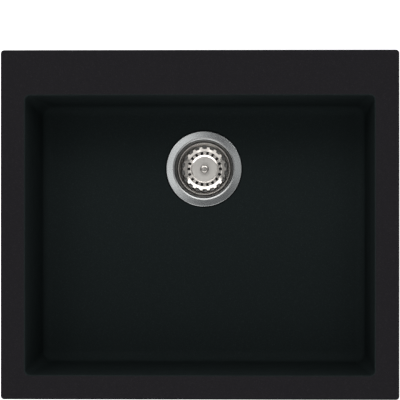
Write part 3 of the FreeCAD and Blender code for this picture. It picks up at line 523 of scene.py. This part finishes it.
CLIMB = 0.73
climb = work_out(turned_lines, "MULTIPLY_ADD", along["Z"], CLIMB, radius)
step = work_out(turned_lines, "DIVIDE", climb, given["Line Width"])
heading_part = place(turned_lines, "ShaderNodeSeparateXYZ", {0: heading}).outputs
line_spot = place(turned_lines, "ShaderNodeCombineXYZ",
                  {0: heading_part["X"], 1: heading_part["Y"], 2: step}).outputs[0]
lines = place(turned_lines, "ShaderNodeTexNoise", {"Vector": line_spot, "Scale": 1.0, "Detail": 2.0})
broad = work_out(turned_lines, "DIVIDE", 1.0, given["Smear Size"])
smears = place(turned_lines, "ShaderNodeTexNoise", {"Vector": spot, "Scale": broad, "Detail": 3.0})
for title, source in (("Lines", lines.outputs["Fac"]), ("Smears", smears.outputs["Fac"]), ("Radius", radius)):
    turned_lines.links.new(source, put_out[title])


def height_in(tree):
    """Height of each point of a piece."""
    spot = place(tree, "ShaderNodeTexCoord").outputs["Object"]
    return place(tree, "ShaderNodeSeparateXYZ", {0: spot}).outputs["Z"]


ringed_steel, tree, shader = finish_of("ringed_steel", Metallic=1.0,
                                       Anisotropic=0.2, Anisotropic_Rotation=0.25)
rings = masks_of(tree, turned_lines)
around = place(tree, "ShaderNodeTangent", direction_type="RADIAL", axis="Z").outputs[0]
BRUSHED_DARK = (0.46, 0.475, 0.475)
BRUSHED_PALE = (0.51, 0.525, 0.525)
BENT_DARK = (0.36, 0.36, 0.355)
BENT_PALE = (0.44, 0.44, 0.435)
DRAWN_DARK = (0.47, 0.465, 0.45)
DRAWN_PALE = (0.57, 0.565, 0.55)
brushed = two_tones(tree, rings["Lines"], BRUSHED_DARK, BRUSHED_PALE)
bent = two_tones(tree, rings["Lines"], BENT_DARK, BENT_PALE)
as_drawn = two_tones(tree, rings["Smears"], DRAWN_DARK, DRAWN_PALE)
BRUSHED_DEPTH = 4.7 * MM
DRAWN_DEPTH = 13.7 * MM
below_lip = progress(tree, height_in(tree), cup_high.z - BRUSHED_DEPTH, cup_high.z - DRAWN_DEPTH)
LIP_FROM = 46.9 * MM
LIP_TO = 43.9 * MM
NONE, HALF, FULL = (0, 0, 0), (0.5, 0.5, 0.5), (1, 1, 1)
bend = progress(tree, rings["Radius"], LIP_FROM, LIP_TO)
lip = tones(tree, bend, (0.0, NONE), (0.2, FULL), (0.65, FULL), (0.8, NONE))
FLANGE_ROUGHNESS = 0.16
LIP_ADDED_ROUGHNESS = 0.14
DRAWN_ROUGHNESS = 0.5
ringed_roughness = work_out(tree, "MULTIPLY_ADD", lip, LIP_ADDED_ROUGHNESS, FLANGE_ROUGHNESS)
drawn_roughness = work_out(tree, "MULTIPLY", below_lip, DRAWN_ROUGHNESS)
feed(tree, shader,
     Base_Color=mixed(tree, below_lip, mixed(tree, lip, brushed, bent), as_drawn),
     Roughness=work_out(tree, "MAXIMUM", ringed_roughness, drawn_roughness),
     Normal=relief(tree, rings["Lines"], 0.002 * MM),
     Tangent=around)
paint(ringed_steel, "strainer_cup")


# Seals
# Black moulded rubber: the ring under the strainer flange, the thick gasket under the floor,
# the plug under the basket and the friction ring on its pin.
rubber, tree, shader = finish_of("black_rubber", Specular_IOR_Level=0.35)
grain = masks_of(tree, moulded_grain, Grain_Size=0.5 * MM, Mottle_Size=8 * MM)
RUBBER_DARK = (0.012, 0.012, 0.012)
RUBBER_PALE = (0.020, 0.020, 0.020)
feed(tree, shader,
     Base_Color=two_tones(tree, grain["Mottle"], RUBBER_DARK, RUBBER_PALE),
     Roughness=between(tree, grain["Mottle"], 0.6, 0.75),
     Normal=relief(tree, grain["Skin"], 0.03 * MM))
paint(rubber, "flange_seal", "body_gasket", "basket_stopper", "stem_ring")


# Waste body
# Moulded in black plastic: a ribbed flange under the floor, a cone and an outlet with an outer thread.
# A spider inside the outlet holds the boss that takes the fixing screw.
plastic, tree, shader = finish_of("black_plastic", Specular_IOR_Level=0.4)
grain = masks_of(tree, moulded_grain, Grain_Size=0.4 * MM, Mottle_Size=15 * MM)
PLASTIC_DARK = (0.021, 0.021, 0.022)
PLASTIC_PALE = (0.029, 0.029, 0.031)
feed(tree, shader,
     Base_Color=two_tones(tree, grain["Mottle"], PLASTIC_DARK, PLASTIC_PALE),
     Roughness=between(tree, grain["Mottle"], 0.4, 0.52),
     Normal=relief(tree, grain["Skin"], 0.02 * MM))

BODY_WALL = 3 * MM
BODY_EDGE = 1.5 * MM
BODY_FLANGE = 5 * MM
BODY_BEND = 8 * MM
BODY_BORE = 45.45 * MM
BODY_LOWER_BORE = 42.65 * MM
OUTLET_RADIUS = 23.9 * MM
OUTLET_BORE = 19.5 * MM
OUTLET_LENGTH = 34 * MM
OUTLET_PLAIN_NECK = 4 * MM
OUTLET_FADE = 2 * MM
OUTLET_POINTS_PER_PITCH = 6
CONE_HEIGHT = 19 * MM
RIB_HEIGHT = 7 * BODY_WALL
RIB_TOP_ROOT = BODY_WALL / 3
RIB_FOOT_ROOT = BODY_WALL * 2 / 3
BOSS_RADIUS = 11 * MM
BOSS_FLOOR = 4 * MM
NECK_RADIUS = 8.5 * MM
NECK_HEIGHT = 6 * MM
INSERT_RADIUS = 7.5 * MM
SCREW_HOLE = 5.3 * MM
JOINING_OVERLAP = 0.02 * MM
BAR_STEPS = 64
body_low, body_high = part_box("waste_body")
insert_low, insert_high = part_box("body_insert")
body_top = body_high.z
flange_radius = (body_high.x - body_low.x) / 2
flange_underside = body_top - BODY_FLANGE
cone_bottom = body_low.z + OUTLET_LENGTH
cone_top = cone_bottom + CONE_HEIGHT
boss_bottom = insert_low.z - BOSS_FLOOR
boss_top = cup_low.z
body_sizes = {"Steps Around": 96, "Thread Pitch": 2.31 * MM, "Thread Depth": 1.3 * MM,
              "Ribs": 8, "Rib Thickness": BODY_WALL, "Arms": 4, "Arm Width": BODY_WALL,
              "Arm From": BOSS_RADIUS - BODY_WALL / 2, "Arm To": (OUTLET_RADIUS + OUTLET_BORE) / 2,
              "Arm Bottom": boss_bottom, "Arm Top": cone_bottom,
              "Boss Radius": BOSS_RADIUS, "Boss Bottom": boss_bottom,
              "Boss Height": boss_top - NECK_HEIGHT - boss_bottom + JOINING_OVERLAP,
              "Neck Radius": NECK_RADIUS, "Neck Bottom": boss_top - NECK_HEIGHT, "Neck Height": NECK_HEIGHT,
              "Pocket Radius": INSERT_RADIUS, "Pocket Bottom": insert_low.z,
              "Pocket Height": insert_high.z - insert_low.z,
              "Hole Radius": SCREW_HOLE, "Hole Height": boss_top - insert_low.z + CUT_MARGIN}
waste_maker, given = maker("waste_maker", {"Outline": "Geometry", **body_sizes, "Finish": "Material"})


def round_bar(radius, top_radius, bottom, height):
    """Upright round bar or cone, by the names of its sizes."""
    sizes = {"Vertices": BAR_STEPS, "Radius Bottom": given[radius], "Radius Top": given[top_radius],
             "Depth": given[height]}
    bar = place(waste_maker, "GeometryNodeMeshCone", sizes).outputs["Mesh"]
    spot = place(waste_maker, "ShaderNodeCombineXYZ", {2: given[bottom]}).outputs[0]
    return place(waste_maker, "GeometryNodeTransform", {"Geometry": bar, "Translation": spot}).outputs[0]


shell = inside(waste_maker, lathe, Outline=given["Outline"], Steps_Around=given["Steps Around"],
               Thread_Pitch=given["Thread Pitch"], Thread_Depth=given["Thread Depth"])
rib_top = body_top - BODY_FLANGE / 2
rib_edge = flange_radius - BODY_WALL
rib_corners = {"Point 1": (BODY_BORE + RIB_TOP_ROOT, rib_top, 0), "Point 2": (rib_edge, rib_top, 0),
               "Point 3": (rib_edge, flange_underside - BODY_WALL, 0),
               "Point 4": (BODY_LOWER_BORE + RIB_FOOT_ROOT, flange_underside - RIB_HEIGHT, 0)}
rib = place(waste_maker, "GeometryNodeCurvePrimitiveQuadrilateral", rib_corners, mode="POINTS").outputs[0]
rib = inside(waste_maker, prism, Outline=rib, Rise=given["Rib Thickness"])
half_rib = work_out(waste_maker, "MULTIPLY", given["Rib Thickness"], 0.5)
spot = place(waste_maker, "ShaderNodeCombineXYZ", {1: half_rib}).outputs[0]
UPRIGHT = (math.pi / 2, 0, 0)
rib = place(waste_maker, "GeometryNodeTransform",
            {"Geometry": rib, "Translation": spot, "Rotation": UPRIGHT}).outputs[0]
ribs = inside(waste_maker, ring_of, Outline=rib, Count=given["Ribs"])
arms = inside(waste_maker, bars, From=given["Arm From"], To=given["Arm To"], Width=given["Arm Width"],
              Bottom=given["Arm Bottom"], Top=given["Arm Top"], Count=given["Arms"])
boss = round_bar("Boss Radius", "Boss Radius", "Boss Bottom", "Boss Height")
neck = round_bar("Boss Radius", "Neck Radius", "Neck Bottom", "Neck Height")
pocket = round_bar("Pocket Radius", "Pocket Radius", "Pocket Bottom", "Pocket Height")
hole = round_bar("Hole Radius", "Hole Radius", "Pocket Bottom", "Hole Height")
moulding = boolean(waste_maker, "UNION", shell, ribs, arms, boss, neck)
deliver(waste_maker, boolean(waste_maker, "DIFFERENCE", moulding, pocket, hole), given["Finish"])
path = rounded_path([(BODY_BORE, body_top, 0), (flange_radius, body_top, BODY_EDGE),
                     (flange_radius, flange_underside, BODY_EDGE),
                     (BODY_BORE + BODY_WALL, flange_underside, BODY_EDGE),
                     (BODY_LOWER_BORE + BODY_WALL, cone_top, BODY_BEND),
                     (OUTLET_RADIUS, cone_bottom, BODY_EDGE), (OUTLET_RADIUS, body_low.z + BODY_EDGE, 0),
                     (OUTLET_RADIUS - BODY_EDGE, body_low.z, 0), (OUTLET_BORE, body_low.z, 0),
                     (OUTLET_BORE, cone_bottom, BODY_EDGE),
                     (BODY_LOWER_BORE, cone_top + BODY_WALL, BODY_BEND), (BODY_BORE, body_top, 0)])
path = refined(path, body_sizes["Thread Pitch"] / OUTLET_POINTS_PER_PITCH)
thread = thread_shares(path, OUTLET_RADIUS, cone_bottom - OUTLET_PLAIN_NECK, body_low.z, OUTLET_FADE)
waste_body = grow("waste_body_threaded", outline_mesh("waste_outline", path, thread), waste_maker,
                  {**body_sizes, "Finish": plastic}, drain_axis)
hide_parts("waste_body")
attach(waste_body, "sink")


# Basket cup
# Pressed and pierced from thin stainless sheet, with a hem at its rim; its floor is polished
# and the raised middle brushed. The knob's stud holds it, and it lifts out of the strainer cup
# with all that hangs below it.
BASKET_SHEET = 0.8 * MM
BASKET_HEM = 1.6 * MM
BASKET_LEAN = 5.4 * MM
BASKET_BEND = 0.6 * MM
BASKET_FILLET = 2.5 * MM
FLOOR_BEND = 1.5 * MM
CONE_SHARE = 0.772
CONE_RISE = 1.7 * MM
PLATEAU_SHARE = 0.541
PLATEAU_SLOPE = 2.6 * MM
PLATEAU_RISE = 0.42 * MM
STUD_HOLE = 3.1 * MM
LONGEST_RUN = 1.5 * MM
HOLE_COUNT = 18
HALF_PITCH = 0.5 / HOLE_COUNT
REAR_TURN = 0.25
WINDOW_SHARE = 0.877
WINDOW_OVERRUN = 7 * MM
WINDOW_HEIGHT = 8.5 * MM
SLOT_MARGIN = 0.45 * MM
VENT_FOOT = 12.5 * MM
VENT_HEAD = 18.5 * MM
basket_low, basket_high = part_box("basket_cup")
rim_radius = (basket_high.x - basket_low.x) / 2
rim_mid = basket_high.z - BASKET_SHEET / 2
floor_mid = basket_low.z + BASKET_SHEET / 2
floor_radius = rim_radius - BASKET_LEAN
cone_radius = CONE_SHARE * floor_radius
plateau_radius = PLATEAU_SHARE * floor_radius

polished_steel, tree, shader = finish_of("polished_steel", Metallic=1.0)
rings = masks_of(tree, turned_lines, Line_Width=0.4 * MM)
POLISHED_DULL = (0.76, 0.715, 0.665)
POLISHED_BRIGHT = (0.82, 0.775, 0.72)
PRESSED_DULL = (0.54, 0.51, 0.475)
PRESSED_BRIGHT = (0.60, 0.57, 0.53)
MIDDLE_DULL = (0.68, 0.655, 0.62)
MIDDLE_BRIGHT = (0.74, 0.715, 0.675)
WALL_DULL = (0.28, 0.265, 0.245)
WALL_BRIGHT = (0.40, 0.385, 0.36)
polished = two_tones(tree, rings["Smears"], POLISHED_DULL, POLISHED_BRIGHT)
pressed = two_tones(tree, rings["Smears"], PRESSED_DULL, PRESSED_BRIGHT)
brushed = two_tones(tree, rings["Lines"], MIDDLE_DULL, MIDDLE_BRIGHT)
as_drawn = two_tones(tree, rings["Smears"], WALL_DULL, WALL_BRIGHT)
TONE_BLEND = 0.8 * MM
cone = progress(tree, rings["Radius"], cone_radius - TONE_BLEND, cone_radius)
middle = progress(tree, rings["Radius"], plateau_radius + TONE_BLEND / 2, plateau_radius - TONE_BLEND / 2)
height = progress(tree, height_in(tree), basket_low.z, basket_high.z)
wall = tones(tree, height, (0.09, NONE), (0.16, FULL), (0.93, FULL), (0.97, HALF))
floor_tone = mixed(tree, middle, mixed(tree, cone, polished, pressed), brushed)
WALL_ADDED_ROUGHNESS = 0.2
MIDDLE_ROUGHNESS = 0.45
floor_roughness = between(tree, rings["Smears"], 0.09, 0.14)
cup_roughness = work_out(tree, "MULTIPLY_ADD", wall, WALL_ADDED_ROUGHNESS, floor_roughness)
middle_roughness = work_out(tree, "MULTIPLY", middle, MIDDLE_ROUGHNESS)
feed(tree, shader,
     Base_Color=mixed(tree, wall, floor_tone, as_drawn),
     Roughness=work_out(tree, "MAXIMUM", cup_roughness, middle_roughness),
     Normal=relief(tree, rings["Lines"], 0.002 * MM))
paint(polished_steel, "stopper_plate")

basket_sizes = {"Steps Around": 144, "Holes": HOLE_COUNT, "Below Floor": floor_mid - BASKET_SHEET,
                "Window From": WINDOW_SHARE * floor_radius, "Window To": rim_radius + WINDOW_OVERRUN,
                "Window Width": 7.2 * MM, "Window Corner": 1.8 * MM, "Window Top": floor_mid + WINDOW_HEIGHT,
                "Slot From": plateau_radius + PLATEAU_SLOPE + SLOT_MARGIN,
                "Slot To": cone_radius - SLOT_MARGIN, "Slot Width": 3.8 * MM,
                "Slot Top": floor_mid + BASKET_SHEET,
                "Vent From": floor_radius - BASKET_SHEET, "Vent To": rim_radius, "Vent Width": 4 * MM,
                "Vent Bottom": floor_mid + VENT_FOOT, "Vent Top": floor_mid + VENT_HEAD}
pierced_basket, given = maker("pierced_basket", {"Outline": "Geometry", **basket_sizes, "Finish": "Material"})


def cutters(kind, bottom, first_turn, **corner):
    """Ring of bars that pierce one kind of hole, by the names of its sizes."""
    return inside(pierced_basket, bars, From=given[kind + " From"], To=given[kind + " To"],
                  Width=given[kind + " Width"], Bottom=given[bottom], Top=given[kind + " Top"],
                  Count=given["Holes"], First_Turn=first_turn, **corner)


def both_sides(points, thickness):
    """Closed outline of a sheet of a given thickness along a path."""
    runs = [(ahead - here).normalized() for here, ahead in zip(points, points[1:])]
    left, right = [], []
    for i, here in enumerate(points):
        after = runs[min(i, len(runs) - 1)]
        mean = (runs[max(i - 1, 0)] + after).normalized()
        reach = Vector((-mean.y, mean.x)) * thickness / 2 / mean.dot(after)
        left.append(here + reach)
        right.append(here - reach)
    return left + right[::-1] + left[:1]


cup = inside(pierced_basket, lathe, Outline=given["Outline"], Steps_Around=given["Steps Around"])
windows = cutters("Window", "Below Floor", REAR_TURN, Corner=given["Window Corner"])
slots = cutters("Slot", "Below Floor", REAR_TURN + HALF_PITCH)
vents = cutters("Vent", "Vent Bottom", REAR_TURN + HALF_PITCH)
deliver(pierced_basket, boolean(pierced_basket, "DIFFERENCE", cup, windows, slots, vents), given["Finish"])
hem_radius = rim_radius - BASKET_SHEET / 2
plateau_mid = floor_mid + PLATEAU_RISE
path = rounded_path([(hem_radius, rim_mid - BASKET_HEM, 0), (hem_radius, rim_mid, BASKET_BEND),
                     (hem_radius - BASKET_HEM, rim_mid, BASKET_BEND),
                     (floor_radius, floor_mid + CONE_RISE, BASKET_FILLET),
                     (cone_radius, floor_mid, FLOOR_BEND),
                     (plateau_radius + PLATEAU_SLOPE, floor_mid, FLOOR_BEND),
                     (plateau_radius, plateau_mid, FLOOR_BEND), (STUD_HOLE, plateau_mid, 0)])
path = both_sides(refined(path, LONGEST_RUN), BASKET_SHEET)
basket = grow("basket_pierced", outline_mesh("basket_outline", path), pierced_basket,
              {**basket_sizes, "Finish": polished_steel}, drain_axis)
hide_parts("basket_cup")
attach(basket, "basket")


# Knob, nut, pin and fixing screw
# Turned from stainless bar. The knob's stud goes down through basket, plate and plug into the nut,
# whose pin slides in the hollow fixing screw.
turned_steel, tree, shader = finish_of("turned_steel", Metallic=1.0)
rings = masks_of(tree, turned_lines, Line_Width=0.25 * MM, Smear_Size=6 * MM)
TURNED_DULL = (0.44, 0.42, 0.39)
TURNED_BRIGHT = (0.53, 0.50, 0.47)
feed(tree, shader,
     Base_Color=two_tones(tree, rings["Lines"], TURNED_DULL, TURNED_BRIGHT),
     Roughness=between(tree, rings["Smears"], 0.12, 0.18),
     Normal=relief(tree, rings["Lines"], 0.004 * MM))
paint(turned_steel, "basket_knob", "basket_nut", "stem_pin", "fixing_screw")


# Studio
# A pale floor under the sink and a soft sky, brighter towards the horizon, with soft boxes:
# an arc of three behind, another in front, a weak one at each side, a low one in front,
# and two overhead for the steel.
world = bpy.data.worlds.new("studio_sky")
bpy.context.scene.world = world
world.use_nodes = True
sky = world.node_tree
ray = place(sky, "ShaderNodeTexCoord").outputs["Generated"]
height = place(sky, "ShaderNodeSeparateXYZ", {0: ray}).outputs["Z"]
HORIZON = (1.0, 1.0, 1.0)
LOW_SKY = (0.6, 0.6, 0.6)
HIGH_SKY = (0.17, 0.173, 0.177)
LOW_SKY_AT = 0.35
HIGH_SKY_AT = 0.64
sky_tone = tones(sky, height, (0.0, HORIZON), (LOW_SKY_AT, LOW_SKY), (HIGH_SKY_AT, HIGH_SKY))
sky.links.new(sky_tone, sky.nodes["Background"].inputs["Color"])

FLOOR_REACH = 12.0
FLOOR_GAP = 2 * MM
floor_level = cad_low.z - FLOOR_GAP
floor_mesh = bpy.data.meshes.new("studio_floor")
floor_mesh.from_pydata([(x * FLOOR_REACH, y * FLOOR_REACH, floor_level)
                        for x, y in ((-1, -1), (1, -1), (1, 1), (-1, 1))], [], [(0, 1, 2, 3)])
floor = bpy.data.objects.new("studio_floor", floor_mesh)
bpy.context.scene.collection.objects.link(floor)
PALE_GREY = (0.9, 0.9, 0.9, 1)
WHITE = (1, 1, 1, 1)
PAPER_GLOW = 0.8
paper, tree, shader = finish_of("pale_paper", Base_Color=PALE_GREY, Roughness=0.9, Emission_Color=WHITE)
light_path = place(tree, "ShaderNodeLightPath").outputs
mirrored = work_out(tree, "MAXIMUM", light_path["Is Glossy Ray"], light_path["Is Transmission Ray"])
seen = work_out(tree, "MAXIMUM", light_path["Is Camera Ray"], mirrored)
feed(tree, shader, Emission_Strength=work_out(tree, "MULTIPLY", seen, PAPER_GLOW))
floor_mesh.materials.append(paper)


def soft_box(name, brightness, width, length, spot, target):
    """Soft light of a given brightness and size, turned to a target and out of the camera's sight."""
    lamp = bpy.data.lights.new(name, "AREA")
    lamp.shape = "RECTANGLE"
    lamp.size = width
    lamp.size_y = length
    lamp.energy = brightness * math.pi * width * length
    holder = bpy.data.objects.new(name, lamp)
    holder.location = spot
    holder.rotation_mode = "QUATERNION"
    holder.rotation_quaternion = (Vector(target) - Vector(spot)).to_track_quat("-Z", "Y")
    holder.visible_camera = False
    bpy.context.scene.collection.objects.link(holder)


AIM_DEPTH = 0.2
ARC_SHIFT = Vector((-0.1, 0, 0))
ARC_DISTANCE = 2.9
ARC_TILT = math.radians(26.5)
ARC_TURNS = (-36, 0, 36)
ALONE = (0,)
HIGH_BOXES = (("rear_light", 2.3, 90, ARC_TURNS), ("front_light", 1.0, -90, ARC_TURNS),
              ("left_light", 0.25, 180, ALONE), ("right_light", 0.25, 0, ALONE))
strainer = drain_axis - Vector((0, 0, AIM_DEPTH))
for name, brightness, heading, turns in HIGH_BOXES:
    for turn in turns:
        way = math.radians(heading + turn)
        across = math.sin(ARC_TILT) * Vector((math.cos(way), math.sin(way), 0))
        spot = strainer + ARC_SHIFT + ARC_DISTANCE * (across + Vector((0, 0, math.cos(ARC_TILT))))
        soft_box(name, brightness, width=0.9, length=1.0, spot=spot, target=strainer)
soft_box("front_fill", brightness=1.4, width=1.9, length=0.95, spot=(-0.1, -2.0, 1.815), target=strainer)
soft_box("overhead_strip", brightness=1.3, width=1.0, length=0.55, spot=(-0.468, 0.232, 4.0), target=strainer)
soft_box("overhead_glint", brightness=0.5, width=0.6, length=0.6, spot=(0.55, 0.2, 4.0), target=strainer)


# Camera
# High above the rim and a little to the right, looking down, with a long lens.
camera = bpy.data.cameras.new("camera")
camera.lens = 280.5
camera.sensor_width = 36.0
camera.clip_end = 50.0
camera_holder = bpy.data.objects.new("camera", camera)
camera_spot = Vector((0.145, 0.0354, 4.461))
camera_target = Vector((0.0006, 0.0354, 0.011))
line_of_sight = camera_spot - camera_target
camera_holder.location = camera_spot
camera_holder.rotation_euler = (0, math.atan2(line_of_sight.x, line_of_sight.z), 0)
bpy.context.scene.collection.objects.link(camera_holder)
bpy.context.scene.camera = camera_holder
bpy.context.scene.view_settings.view_transform = "Standard"
